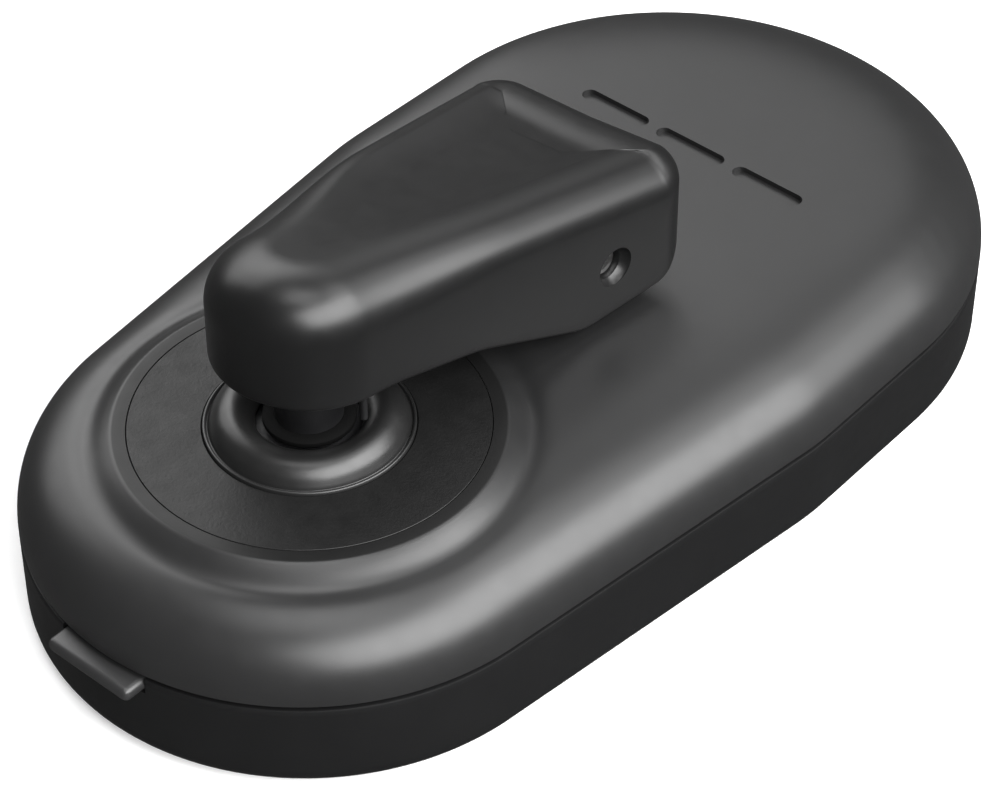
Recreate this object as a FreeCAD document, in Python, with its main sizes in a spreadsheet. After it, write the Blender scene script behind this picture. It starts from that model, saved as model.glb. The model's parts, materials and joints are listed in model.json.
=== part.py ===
"""Wireless handlebar remote with a rocking thumb paddle, built as an assembly of separate pieces.

Frame: millimetres, +Z up, +Y along the pod from the paddle's pivot end to its wide end, +X to the
right seen from above with +Y ahead. The origin is the middle of the footprint on the base plane.
"""
import FreeCAD, Part
import Sketcher
import math
import os

from FreeCAD import Placement, Rotation, Vector

os.makedirs("parts", exist_ok=True)
doc = FreeCAD.newDocument("remote")

# ---------------------------------------------------------------- driving dimensions (mm, degrees)
SIZES = {
    # pod outline at the seam: the hull of three circles on the Y axis
    "near_radius": 17.35, "near_y": -17.55,
    "mid_radius": 19.95, "mid_y": 6.30,
    "far_radius": 19.77, "far_y": 16.23,
    # heights of the housing
    "seam_low": 6.45, "seam_high": 6.75, "cover_rise": 5.22, "cover_roll": 11.88,
    "roll_p": 2.125, "roll_q": 3.782, "disk_top": 12.30,
    "wall": 1.60, "cover_wall": 1.40, "floor": 1.50, "base_round": 1.50,
    # screws that close the housing
    "boss_inset": 4.40, "boss_near_angle": 45.0, "boss_far_angle": 35.0,
    "boss_radius": 2.40, "screw_radius": 0.95, "screw_head_radius": 1.75,
    "screw_head_low": 0.25, "screw_seat": 1.50, "screw_tip": 9.30, "boss_top": 10.25,
    # tongue of the cover and the gasket in the seam
    "lip_outer": 1.65, "lip_inner": 2.55, "lip_low": 5.65,
    "gasket_outer": 0.50, "gasket_inner": 1.60,
    # circuit board
    "board_inset": 2.80, "board_low": 5.60, "board_thick": 0.80,
    "radio_width": 11.00, "radio_depth": 9.00, "radio_high": 1.90, "radio_round": 0.60,
    # raised ring on the cover and the disk in it
    "ring_radius": 11.50, "bore_radius": 10.64, "skirt_radius": 13.70, "skirt_drop": 0.95,
    "disk_radius": 10.56, "disk_thick": 1.00, "ledge_radius": 9.20,
    # rubber boot
    "boot_lip_radius": 6.23, "boot_hole_radius": 3.15, "boot_crest_radius": 4.85,
    "boot_crest": 13.75, "boot_flange_radius": 8.50, "boot_thick": 0.80,
    # rocker on its pin
    "pivot_high": 9.30, "pin_radius": 0.75, "pin_length": 17.60, "pivot_play": 0.05,
    "bracket_outer": 9.00, "bracket_inner": 7.60, "bracket_low": 6.45, "bracket_high": 10.45,
    "carrier_hub_radius": 3.20, "carrier_high": 12.20,
    "arm_reach": 7.10, "arm_half": 1.60, "arm_low": 8.20, "arm_high": 9.40,
    "stem_radius": 2.02, "stem_low": 10.30, "stem_high": 21.00,
    "seal_radius": 2.75, "seal_low": 12.70, "seal_high": 13.15,
    # switches under the rocker
    "switch_x": 6.30, "switch_half": 1.10, "switch_high": 7.30, "switch_bore": 0.65,
    "plunger_radius": 0.60, "plunger_low": 7.00, "plunger_top": 8.10,
    "spring_x": 3.60, "spring_radius": 0.90, "spring_wire": 0.15, "spring_turns": 4.0,
    # paddle, measured from the stem's axis and from the disk's top face
    "paddle_radius": 5.58, "paddle_flare": 5.5, "paddle_length": 25.60, "paddle_corner": 2.70,
    "paddle_top": 12.90, "paddle_fall": 0.19, "paddle_cant": 6.8, "paddle_round": 2.30,
    # the paddle's underside: high over the boot, down to a belly, up again at the far end
    "under_near": 6.40, "under_boot_y": 1.50, "under_boot": 5.20, "under_step_y": 8.00,
    "under_step": 3.75, "belly_near_y": 16.20, "belly_near": 0.30, "belly_far_y": 23.00,
    "belly_far": 0.48, "under_far": 4.60,
    # metal lever inside the paddle
    "lever_half": 2.50, "lever_slack": 0.05, "lever_near_y": -2.90, "lever_far_y": 21.00,
    "lever_low": 2.40, "lever_tip": 5.60, "lever_under": 6.60, "lever_top": 9.60,
    # set screw in the paddle's side
    "set_y": 18.60, "set_z": 4.00, "set_radius": 0.95, "set_inner": 2.56, "set_outer": 6.55,
    "set_socket": 0.90, "set_socket_depth": 1.20, "set_mouth": 1.15,
    # locating pin under the paddle
    "locator_x": 3.80, "locator_y": 0.60, "locator_radius": 0.25, "locator_low": 14.50,
    # function button at the near end
    "button_x": -0.10, "button_width": 6.50, "button_tip": -36.00, "button_low": 5.42,
    "button_high": 6.35, "button_play": 0.10, "button_shoulder": -32.65, "button_back": -32.05,
    "button_flange": 8.00, "button_foot": 4.20, "button_round": 0.25,
    "tact_front": -31.00, "tact_depth": 3.20, "tact_width": 4.40, "tact_low": 4.10,
    "tact_bore": 1.40, "tact_plunger_width": 2.40, "tact_plunger_high": 0.80,
    # battery and its door
    "cell_y": 14.00, "cell_radius": 10.00, "cell_low": 1.85, "cell_thick": 3.20,
    "door_radius": 12.00, "door_play": 0.10, "door_low": 0.10, "door_ledge": 0.90,
    "plug_radius": 10.85, "plug_hole": 11.00, "cup_high": 3.40,
    "lug_circle": 9.80, "lug_size": 1.90, "lug_notch": 2.10, "lug_low": 1.54,
    "lug_thick": 0.30, "lug_turn": 45.0, "groove_radius": 10.20, "groove_low": 1.00,
    "groove_high": 1.40, "cup_inner": 10.15,
    "coin_slot": 14.00, "coin_slot_width": 2.00, "coin_slot_depth": 0.50,
    # brass inserts for the handlebar clamp's screws
    "mount_half": 9.00, "mount_y": -4.50, "insert_radius": 2.00, "insert_hole": 1.25,
    "insert_length": 4.50, "mount_boss_radius": 3.10,
}
sheet = doc.addObject("Spreadsheet::Sheet", "Sizes")
for row, (alias, value) in enumerate(SIZES.items(), start=1):
    sheet.set(f"A{row}", alias)
    sheet.set(f"B{row}", str(value))
    sheet.setAlias(f"B{row}", alias)
doc.recompute()


# ---------------------------------------------------------------- expressions
def full(text):
    """An expression in which every alias is written with its sheet."""
    words, word = [], ""
    for letter in str(text) + " ":
        if letter.isalnum() or letter in "_.":
            word += letter
            continue
        words.append(f"Sizes.{word}" if word in SIZES else word)
        words.append(letter)
        word = ""
    return "".join(words).strip()


def value_of(text):
    """The number that an expression gives now."""
    result = sheet.evalExpression(full(text))
    return float(getattr(result, "Value", result))


def bind(thing, prop, text):
    thing.setExpression(prop, full(text))


# ---------------------------------------------------------------- sketches
def new_body(name, y=None):
    body = doc.addObject("PartDesign::Body", name)
    body.Label = name
    if y is not None:
        bind(body, "Placement.Base.y", y)
    return body


def new_sketch(body, name, plane="XY_Plane", level="0"):
    sketch = body.newObject("Sketcher::SketchObject", name)
    origin_plane = next(f for f in body.Origin.OriginFeatures if f.Role == plane)
    sketch.AttachmentSupport = [(origin_plane, "")]
    sketch.MapMode = "FlatFace"
    if level != "0":
        bind(sketch, "AttachmentOffset.Base.z", level)
    return sketch


def constrain(sketch, kind, *where, text):
    """A dimension with its value bound to an expression."""
    index = sketch.addConstraint(Sketcher.Constraint(kind, *where, value_of(text)))
    bind(sketch, f"Constraints[{index}]", text)


def join(sketch, kind, *where):
    sketch.addConstraint(Sketcher.Constraint(kind, *where))


def pin_point(sketch, geometry, point, x, y):
    """Hold a point at (x, y), given as expressions; "0" puts it on the axis."""
    if x == "0":
        join(sketch, "PointOnObject", geometry, point, -2)
    else:
        constrain(sketch, "DistanceX", -1, 1, geometry, point, text=x)
    if y == "0":
        join(sketch, "PointOnObject", geometry, point, -1)
    else:
        constrain(sketch, "DistanceY", -1, 1, geometry, point, text=y)


def add_circle(sketch, radius, x="0", y="0"):
    centre = Vector(value_of(x), value_of(y), 0)
    index = sketch.addGeometry(Part.Circle(centre, Vector(0, 0, 1), value_of(radius)), False)
    pin_point(sketch, index, 3, x, y)
    constrain(sketch, "Radius", index, text=radius)


def add_polygon(sketch, corners):
    """A closed loop of straight lines through corners given as pairs of expressions."""
    points = [Vector(value_of(x), value_of(y), 0) for x, y in corners]
    first = None
    for start, end in zip(points, points[1:] + points[:1]):
        index = sketch.addGeometry(Part.LineSegment(start, end), False)
        first = index if first is None else first
    for step, (x, y) in enumerate(corners):
        line = first + step
        following = first + (step + 1) % len(corners)
        join(sketch, "Coincident", line, 2, following, 1)
        pin_point(sketch, line, 1, x, y)


def add_rectangle(sketch, width, depth, x="0", y="0"):
    left, right = f"{x} - ({width}) / 2", f"{x} + ({width}) / 2"
    low, high = f"{y} - ({depth}) / 2", f"{y} + ({depth}) / 2"
    add_polygon(sketch, [(left, low), (right, low), (right, high), (left, high)])


def add_pod_outline(sketch, inset="0"):
    """The pod's outline, moved inwards: three circles on the Y axis joined by their tangents."""
    circles = [(f"{name}_radius - ({inset})", f"{name}_y") for name in ("near", "mid", "far")]
    radii = [value_of(radius) for radius, _ in circles]
    heights = [value_of(y) for _, y in circles]
    # the tangent between two circles touches both where their radii point at this angle
    low = math.asin((radii[0] - radii[1]) / (heights[1] - heights[0]))
    high = math.asin((radii[1] - radii[2]) / (heights[2] - heights[1]))

    def arc(which, start, end):
        circle = Part.Circle(Vector(0, heights[which], 0), Vector(0, 0, 1), radii[which])
        return Part.ArcOfCircle(circle, start, end)

    def line(start_arc, end_arc):
        return Part.LineSegment(start_arc.EndPoint, end_arc.StartPoint)

    arcs = [arc(0, math.pi - low, 2 * math.pi + low), arc(1, low, high),
            arc(2, high, math.pi - high), arc(1, math.pi - high, math.pi - low)]
    shapes = []
    for step, piece in enumerate(arcs):
        shapes += [piece, line(piece, arcs[(step + 1) % 4])]
    first = sketch.addGeometry(shapes, False)[0]
    for step, which in enumerate((0, 1, 2, 1)):
        index = first + 2 * step
        radius, y = circles[which]
        pin_point(sketch, index, 3, "0", y)
        constrain(sketch, "Radius", index, text=radius)
        join(sketch, "Tangent", index, 2, index + 1, 1)
        join(sketch, "Tangent", index + 1, 2, first + (2 * step + 2) % 8, 1)


# ---------------------------------------------------------------- features
def feature(body, kind, name, profile=None):
    made = body.newObject(f"PartDesign::{kind}", name)
    if profile is not None:
        made.Profile = profile
    return made


def pad(body, sketch, height, middle=False):
    made = feature(body, "Pad", sketch.Name + "_pad", sketch)
    bind(made, "Length", height)
    made.Midplane = middle
    doc.recompute()
    return made


def pocket(body, sketch, depth=None, middle=False, outward=True):
    """A cut along the sketch's normal (against it when not outward), through all with no depth."""
    before = body.Shape.Volume
    made = feature(body, "Pocket", sketch.Name + "_pocket", sketch)
    if depth is None:
        made.Type = "ThroughAll"
    else:
        bind(made, "Length", depth)
    made.Reversed = outward and not middle
    made.Midplane = middle
    doc.recompute()
    if not body.Shape.Volume < before - 1e-3:
        raise RuntimeError(f"{made.Name} cuts nothing")
    return made


def revolve(body, kind, sketch):
    before = body.Shape.Volume if kind == "Groove" else 0
    made = feature(body, kind, sketch.Name + "_turn", sketch)
    made.ReferenceAxis = (sketch, ["V_Axis"])
    made.Angle = 360
    doc.recompute()
    if kind == "Groove" and not body.Shape.Volume < before - 1e-3:
        raise RuntimeError(f"{made.Name} cuts nothing")
    return made


def repeat_round(body, step, count):
    """The same feature count times round the Z axis."""
    made = feature(body, "PolarPattern", step.Name + "_round")
    made.Originals = [step]
    made.Axis = (next(f for f in body.Origin.OriginFeatures if f.Role == "Z_Axis"), [""])
    made.Angle = 360
    made.Occurrences = count
    body.Tip = made
    doc.recompute()
    return made


def turned(body, name, corners, kind="Revolution"):
    """A solid of revolution, or a turned cut, from corners (radius, height)."""
    sketch = new_sketch(body, name, "XZ_Plane")
    add_polygon(sketch, corners)
    return revolve(body, kind, sketch)


def disc(body, name, radius, low, height, x="0", y="0", hole=None):
    sketch = new_sketch(body, name, level=low)
    add_circle(sketch, radius, x, y)
    if hole is not None:
        add_circle(sketch, hole, x, y)
    return pad(body, sketch, height)


def drill(body, name, radius, low, depth, places=(("0", "0"),)):
    sketch = new_sketch(body, name, level=low)
    for x, y in places:
        add_circle(sketch, radius, x, y)
    return pocket(body, sketch, depth)


def pillow(body, kind, name, low, rise, roll, inset):
    """A loft that rolls over from upright at the seam to a flat top, set in from the outline."""
    sections = []
    for number, part in enumerate((0, 0.3, 0.5, 0.65, 0.77, 0.86, 0.92, 0.96, 0.985, 1)):
        section = new_sketch(body, f"{name}_{number}", level=f"{low} + ({rise}) * {part}")
        shift = f"({roll}) * (1 - (1 - {part} ^ roll_p) ^ (1 / roll_q))"
        add_pod_outline(section, f"{inset} + {shift}" if part else inset)
        sections.append(section)
    made = feature(body, kind, name, sections[0])
    made.Sections = sections[1:]
    made.Ruled = True
    doc.recompute()
    return made


# ---------------------------------------------------------------- places that repeat
BOSSES = [
    (f"{side}(near_radius - boss_inset) * sin(boss_near_angle * 1 deg)",
     "near_y - (near_radius - boss_inset) * cos(boss_near_angle * 1 deg)")
    for side in ("", "-")
] + [
    (f"{side}(far_radius - boss_inset) * cos(boss_far_angle * 1 deg)",
     "far_y + (far_radius - boss_inset) * sin(boss_far_angle * 1 deg)")
    for side in ("", "-")
]
MOUNTS = [("mount_half", "mount_y"), ("-mount_half", "mount_y")]


# ---------------------------------------------------------------- housing
def ring_pad(body, name, outer, inner, low, height):
    """A wall of the pod's outline between two insets."""
    sketch = new_sketch(body, name, level=low)
    add_pod_outline(sketch, outer)
    add_pod_outline(sketch, inner)
    return pad(body, sketch, height)


def make_upper_cover():
    body = new_body("upper_cover")
    pillow(body, "AdditiveLoft", "cover_outside", "seam_high", "cover_rise", "cover_roll", "0")
    pillow(body, "SubtractiveLoft", "cover_inside", "seam_high", "cover_rise - cover_wall",
           "cover_roll - cover_wall", "cover_wall")
    skirt = feature(body, "AdditiveCone", "cover_skirt")
    bind(skirt, "Radius1", "skirt_radius")
    bind(skirt, "Radius2", "ring_radius")
    bind(skirt, "Height", "skirt_drop")
    bind(skirt, "Placement.Base.y", "near_y")
    bind(skirt, "Placement.Base.z", "disk_top - skirt_drop")
    doc.recompute()
    drill(body, "cover_bore", "bore_radius", "disk_top - disk_thick", "2 * disk_thick",
          [("0", "near_y")])
    drill(body, "cover_ledge", "ledge_radius", "seam_high", "disk_top - seam_high",
          [("0", "near_y")])
    ring_pad(body, "cover_flange", "cover_wall / 2", "lip_inner", "seam_high", "cover_wall / 2")
    ring_pad(body, "cover_lip", "lip_outer", "lip_inner", "lip_low", "seam_high - lip_low")
    notch = new_sketch(body, "cover_lip_notch", level="lip_low")
    add_rectangle(notch, "button_flange + 1", "4", "button_x", "button_shoulder")
    pocket(body, notch, "seam_high - lip_low")
    bosses = new_sketch(body, "cover_bosses", level="seam_low")
    for x, y in BOSSES:
        add_circle(bosses, "boss_radius", x, y)
    pad(body, bosses, "boss_top - seam_low")
    drill(body, "cover_pilots", "screw_radius", "seam_low", "screw_tip + 0.2 - seam_low", BOSSES)
    return body


def lug_places(turn):
    """Three places round the battery's axis, turned by an angle in degrees."""
    return [(f"lug_circle * sin(({turn} + {step}) * 1 deg)",
             f"cell_y + lug_circle * cos(({turn} + {step}) * 1 deg)") for step in (0, 120, 240)]


def make_lower_shell():
    body = new_body("lower_shell")
    outline = new_sketch(body, "shell_outline")
    add_pod_outline(outline)
    solid = pad(body, outline, "seam_low")
    rounding = feature(body, "Fillet", "shell_base_round")
    base = [f"Edge{number}" for number, edge in enumerate(solid.Shape.Edges, start=1)
            if edge.BoundBox.ZMax < 0.01]
    rounding.Base = (solid, base)
    bind(rounding, "Radius", "base_round")
    doc.recompute()
    inside = new_sketch(body, "shell_inside", level="floor")
    add_pod_outline(inside, "wall")
    pocket(body, inside)
    for name, radius, top, places in (("shell_bosses", "boss_radius", "board_low", BOSSES),
                                      ("shell_mount_bosses", "mount_boss_radius",
                                       "insert_length + 0.5", MOUNTS)):
        sketch = new_sketch(body, name, level="floor - 0.1")
        for x, y in places:
            add_circle(sketch, radius, x, y)
        pad(body, sketch, f"{top} - floor + 0.1")
    drill(body, "shell_heads", "screw_head_radius + 0.15", "0", "screw_seat", BOSSES)
    drill(body, "shell_shanks", "screw_radius + 0.15", "0", "board_low", BOSSES)
    drill(body, "shell_inserts", "insert_radius", "0", "insert_length", MOUNTS)
    cell = [("0", "cell_y")]
    drill(body, "shell_door", "door_radius + door_play", "0", "door_ledge", cell)
    drill(body, "shell_door_ledge", "plug_hole", "0", "floor", cell)
    drill(body, "shell_lug_notches", "lug_notch", "0", "floor", lug_places("lug_turn"))
    slot = new_sketch(body, "shell_button_slot", level="button_low - button_play")
    add_rectangle(slot, "button_width + 2 * button_play", "5", "button_x", "button_shoulder - 1.5")
    pocket(body, slot)
    return body


def make_seam_gasket():
    body = new_body("seam_gasket")
    ring_pad(body, "gasket_ring", "gasket_outer", "gasket_inner", "seam_low",
             "seam_high - seam_low")
    return body


def make_housing_screws():
    """Four pan-head screws from below, one solid each."""
    solids = []
    for x, y in BOSSES:
        head = Part.makeCylinder(value_of("screw_head_radius"),
                                 value_of("screw_seat - screw_head_low"))
        shank = Part.makeCylinder(value_of("screw_radius"), value_of("screw_tip - screw_head_low"))
        recess = Part.makeCylinder(0.7, 0.6)
        screw = head.fuse(shank).cut(recess)
        screw.translate(Vector(value_of(x), value_of(y), value_of("screw_head_low")))
        solids.append(screw)
    screws = doc.addObject("Part::Feature", "housing_screws")
    screws.Label = "housing_screws"
    screws.Shape = Part.makeCompound(solids)
    return screws


def make_mount_inserts():
    """Two brass inserts, one solid each, flush with the base."""
    solids = []
    for x, y in MOUNTS:
        sleeve = Part.makeCylinder(value_of("insert_radius"), value_of("insert_length"))
        bore = Part.makeCylinder(value_of("insert_hole"), value_of("insert_length"))
        insert = sleeve.cut(bore)
        insert.translate(Vector(value_of(x), value_of(y), 0))
        solids.append(insert)
    inserts = doc.addObject("Part::Feature", "mount_inserts")
    inserts.Label = "mount_inserts"
    inserts.Shape = Part.makeCompound(solids)
    return inserts


# ---------------------------------------------------------------- battery
def make_battery_door():
    body = new_body("battery_door", "cell_y")
    turned(body, "door_profile", [
        ("0", "door_low"), ("door_radius", "door_low"), ("door_radius", "door_ledge - 0.05"),
        ("plug_radius", "door_ledge - 0.05"), ("plug_radius", "groove_low"),
        ("groove_radius", "groove_low"), ("groove_radius", "groove_high"),
        ("plug_radius", "groove_high"), ("plug_radius", "cup_high"),
        ("cup_inner", "cup_high"), ("cup_inner", "cell_low"), ("0", "cell_low"),
    ])
    lugs = new_sketch(body, "door_lugs", level="lug_low")
    add_circle(lugs, "lug_size", "0", "lug_circle")
    repeat_round(body, pad(body, lugs, "lug_thick"), 3)
    slot = new_sketch(body, "door_coin_slot", level="door_low")
    add_rectangle(slot, "coin_slot", "coin_slot_width")
    pocket(body, slot, "coin_slot_depth")
    return body


def make_battery_door_seal():
    body = new_body("battery_door_seal", "cell_y")
    turned(body, "seal_profile", [
        ("groove_radius + 0.02", "groove_low + 0.03"), ("plug_hole - 0.03", "groove_low + 0.03"),
        ("plug_hole - 0.03", "groove_high - 0.03"), ("groove_radius + 0.02", "groove_high - 0.03"),
    ])
    return body


def make_coin_cell():
    body = new_body("coin_cell", "cell_y")
    turned(body, "cell_profile", [
        ("0", "cell_low"), ("cell_radius - 0.4", "cell_low"), ("cell_radius", "cell_low + 0.4"),
        ("cell_radius", "cell_low + cell_thick - 0.5"),
        ("cell_radius - 0.5", "cell_low + cell_thick - 0.2"),
        ("cell_radius - 1.5", "cell_low + cell_thick - 0.2"),
        ("cell_radius - 1.6", "cell_low + cell_thick"), ("0", "cell_low + cell_thick"),
    ])
    return body


def make_contact(name, corners, width):
    """A strip of spring metal cut to a side profile across the board's underside."""
    body = new_body(name, "cell_y")
    side = new_sketch(body, name + "_side", "YZ_Plane")
    add_polygon(side, corners)
    pad(body, side, width, middle=True)
    return body


def make_contacts():
    touch = "cell_low + cell_thick + 0.03"
    make_contact("contact_negative", [
        ("-5", "board_low"), ("-5", "board_low - 0.2"), ("-3.5", "board_low - 0.2"),
        ("-0.6", touch), ("0.6", touch), ("3.5", "board_low - 0.2"), ("5", "board_low - 0.2"),
        ("5", "board_low"), ("3.4", "board_low"), ("0.5", f"{touch} + 0.2"),
        ("-0.5", f"{touch} + 0.2"), ("-3.4", "board_low"),
    ], "3")
    rim = "cell_radius + 0.04"
    make_contact("contact_positive", [
        (rim, "board_low"), (rim, "cup_high + 0.15"), (f"{rim} + 0.2", "cup_high + 0.15"),
        (f"{rim} + 0.2", "board_low - 0.2"), (f"{rim} + 2.4", "board_low - 0.2"),
        (f"{rim} + 2.4", "board_low"),
    ], "4")


# ---------------------------------------------------------------- electronics
def make_circuit_board():
    body = new_body("circuit_board")
    outline = new_sketch(body, "board_outline", level="board_low")
    add_pod_outline(outline, "board_inset")
    pad(body, outline, "board_thick")
    drill(body, "board_holes", "screw_radius + 0.2", "board_low", "board_thick", BOSSES)
    notch = new_sketch(body, "board_notch", level="board_low")
    add_rectangle(notch, "button_flange + 1", "4", "button_x", "tact_front - 2.3")
    pocket(body, notch, "board_thick")
    return body


def make_radio_module():
    body = new_body("radio_module")
    can = new_sketch(body, "radio_can", level="board_low + board_thick")
    add_rectangle(can, "radio_width", "radio_depth", "0", "far_y")
    solid = pad(body, can, "radio_high")
    rounding = feature(body, "Fillet", "radio_can_round")
    rounding.Base = (solid, [f"Edge{number}" for number, edge in enumerate(solid.Shape.Edges, 1)
                             if edge.BoundBox.ZLength > 1])
    bind(rounding, "Radius", "radio_round")
    doc.recompute()
    return body


def make_rocker_switch(side, x):
    """A push switch under one arm of the rocker, its plunger and the spring beside it."""
    body = new_body(f"switch_{side}", "near_y")
    case = new_sketch(body, f"switch_{side}_case", level="board_low + board_thick")
    add_rectangle(case, "2 * switch_half", "2 * switch_half", f"{x}switch_x")
    pad(body, case, "switch_high - board_low - board_thick")
    drill(body, f"switch_{side}_bore", "switch_bore", "board_low + board_thick + 0.1", "2",
          [(f"{x}switch_x", "0")])
    plunger = new_body(f"plunger_{side}", "near_y")
    disc(plunger, f"plunger_{side}_rod", "plunger_radius", "plunger_low",
         "plunger_top - plunger_low", f"{x}switch_x")
    make_spring(f"spring_{side}", f"{x}spring_x")


def make_spring(name, x):
    """A short coil between the circuit board and the rocker's arm."""
    wire = value_of("spring_wire")
    low = value_of("board_low + board_thick") + 0.05 + wire
    high = value_of("arm_low") - 0.05 - wire
    turns = value_of("spring_turns")
    helix = Part.makeHelix((high - low) / turns, high - low, value_of("spring_radius"))
    section = Part.Wire([Part.makeCircle(wire, Vector(value_of("spring_radius"), 0, 0),
                                         Vector(0, 1, 0))])
    coil = Part.Wire(helix.Edges).makePipeShell([section], True, True)
    coil.translate(Vector(value_of(x), value_of("near_y"), low))
    spring = doc.addObject("Part::Feature", name)
    spring.Label = name
    spring.Shape = coil


def make_function_button():
    body = new_body("function_button")
    bar = new_sketch(body, "button_bar", level="button_low")
    add_rectangle(bar, "button_width", "button_shoulder - button_tip", "button_x",
                  "(button_shoulder + button_tip) / 2")
    solid = pad(body, bar, "button_high - button_low")
    rounding = feature(body, "Fillet", "button_edges")
    rounding.Base = (solid, [f"Edge{number}" for number, edge in enumerate(solid.Shape.Edges, 1)
                             if edge.BoundBox.YMax < value_of("button_tip") + 0.01])
    bind(rounding, "Radius", "button_round")
    doc.recompute()
    flange = new_sketch(body, "button_flange_plate", level="button_foot")
    add_rectangle(flange, "button_flange", "button_back - button_shoulder", "button_x",
                  "(button_back + button_shoulder) / 2")
    pad(body, flange, "button_high - button_foot")

    switch = new_body("function_switch")
    case = new_sketch(switch, "function_switch_case", level="tact_low")
    add_rectangle(case, "tact_width", "tact_depth", "button_x", "tact_front + tact_depth / 2")
    pad(switch, case, "board_low - tact_low")
    bore = new_sketch(switch, "function_switch_bore", level="tact_low + 0.3")
    add_rectangle(bore, "tact_plunger_width + 0.1", "2 * tact_bore", "button_x", "tact_front")
    pocket(switch, bore, "tact_plunger_high + 0.1")
    plunger = new_body("function_plunger")
    rod = new_sketch(plunger, "function_plunger_rod", level="tact_low + 0.35")
    add_rectangle(rod, "tact_plunger_width", "tact_front + 0.6 - button_back - 0.05", "button_x",
                  "(tact_front + 0.6 + button_back + 0.05) / 2")
    pad(plunger, rod, "tact_plunger_high")


# ---------------------------------------------------------------- hub and rocker
def make_hub():
    disk = new_body("hub_disk", "near_y")
    disc(disk, "hub_disk_ring", "disk_radius", "disk_top - disk_thick", "disk_thick",
         hole="boot_lip_radius + 0.07")
    boot = new_body("rubber_boot", "near_y")
    turned(boot, "boot_profile", [
        ("boot_hole_radius", "seal_low"), ("boot_crest_radius - 0.75", "disk_top + 0.2"),
        ("boot_crest_radius - 0.25", "disk_top - 0.4"),
        ("boot_crest_radius - 0.25", "disk_top - disk_thick - boot_thick"),
        ("boot_flange_radius", "disk_top - disk_thick - boot_thick"),
        ("boot_flange_radius", "disk_top - disk_thick - 0.02"),
        ("boot_lip_radius", "disk_top - disk_thick - 0.02"),
        ("boot_lip_radius", "disk_top + 0.18"), ("boot_lip_radius - 0.2", "disk_top + 0.18"),
        ("boot_lip_radius - 0.3", "disk_top + 0.08"),
        ("boot_crest_radius + 0.75", "boot_crest - 0.65"),
        ("boot_crest_radius + 0.35", "boot_crest - 0.15"), ("boot_crest_radius", "boot_crest"),
        ("boot_crest_radius - 0.45", "boot_crest - 0.05"),
        ("boot_crest_radius - 0.95", "boot_crest - 0.3"),
        ("boot_crest_radius - 1.35", "boot_crest - 0.5"), ("boot_hole_radius", "seal_high + 0.05"),
    ])
    bracket = new_body("rocker_bracket", "near_y")
    disc(bracket, "bracket_ring", "bracket_outer", "bracket_low", "bracket_high - bracket_low",
         hole="bracket_inner")
    bearing = new_sketch(bracket, "bracket_bearing", "XZ_Plane")
    add_circle(bearing, "pin_radius", "0", "pivot_high")
    pocket(bracket, bearing, "4 * bracket_outer", middle=True)


def make_rocker():
    pin = new_body("pivot_pin", "near_y")
    round_bar = new_sketch(pin, "pin_section", "XZ_Plane")
    add_circle(round_bar, "pin_radius", "0", "pivot_high")
    pad(pin, round_bar, "pin_length", middle=True)

    carrier = new_body("rocker_carrier", "near_y")
    disc(carrier, "carrier_hub", "carrier_hub_radius", "arm_low", "carrier_high - arm_low")
    arms = new_sketch(carrier, "carrier_arms", level="arm_low")
    add_rectangle(arms, "2 * arm_reach", "2 * arm_half")
    pad(carrier, arms, "arm_high - arm_low")
    drill(carrier, "carrier_socket", "stem_radius", "stem_low", "3")
    bore = new_sketch(carrier, "carrier_bore", "XZ_Plane")
    add_circle(bore, "pin_radius + pivot_play", "0", "pivot_high")
    pocket(carrier, bore, "4 * carrier_hub_radius", middle=True)

    stem = new_body("stem", "near_y")
    disc(stem, "stem_rod", "stem_radius", "stem_low", "stem_high - stem_low")
    seal = new_body("stem_seal", "near_y")
    disc(seal, "stem_seal_ring", "seal_radius", "seal_low", "seal_high - seal_low",
         hole="stem_radius")


# ---------------------------------------------------------------- paddle
def place_on_disk(body):
    """Heights in the paddle's own sketches start from the disk's top face."""
    bind(body, "Placement.Base.z", "disk_top")
    return body


def make_lever_arm():
    body = place_on_disk(new_body("lever_arm", "near_y"))
    side = new_sketch(body, "lever_side", "YZ_Plane")
    add_polygon(side, [("lever_near_y", "lever_under"), ("3.5", "lever_under"),
                       ("16.5", "lever_low"), ("lever_far_y", "lever_low"),
                       ("lever_far_y", "lever_tip"), ("3", "lever_top"),
                       ("lever_near_y", "lever_top")])
    pad(body, side, "2 * lever_half", middle=True)
    drill(body, "lever_socket", "stem_radius", "4", "stem_high - disk_top - 4")
    return body


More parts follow.
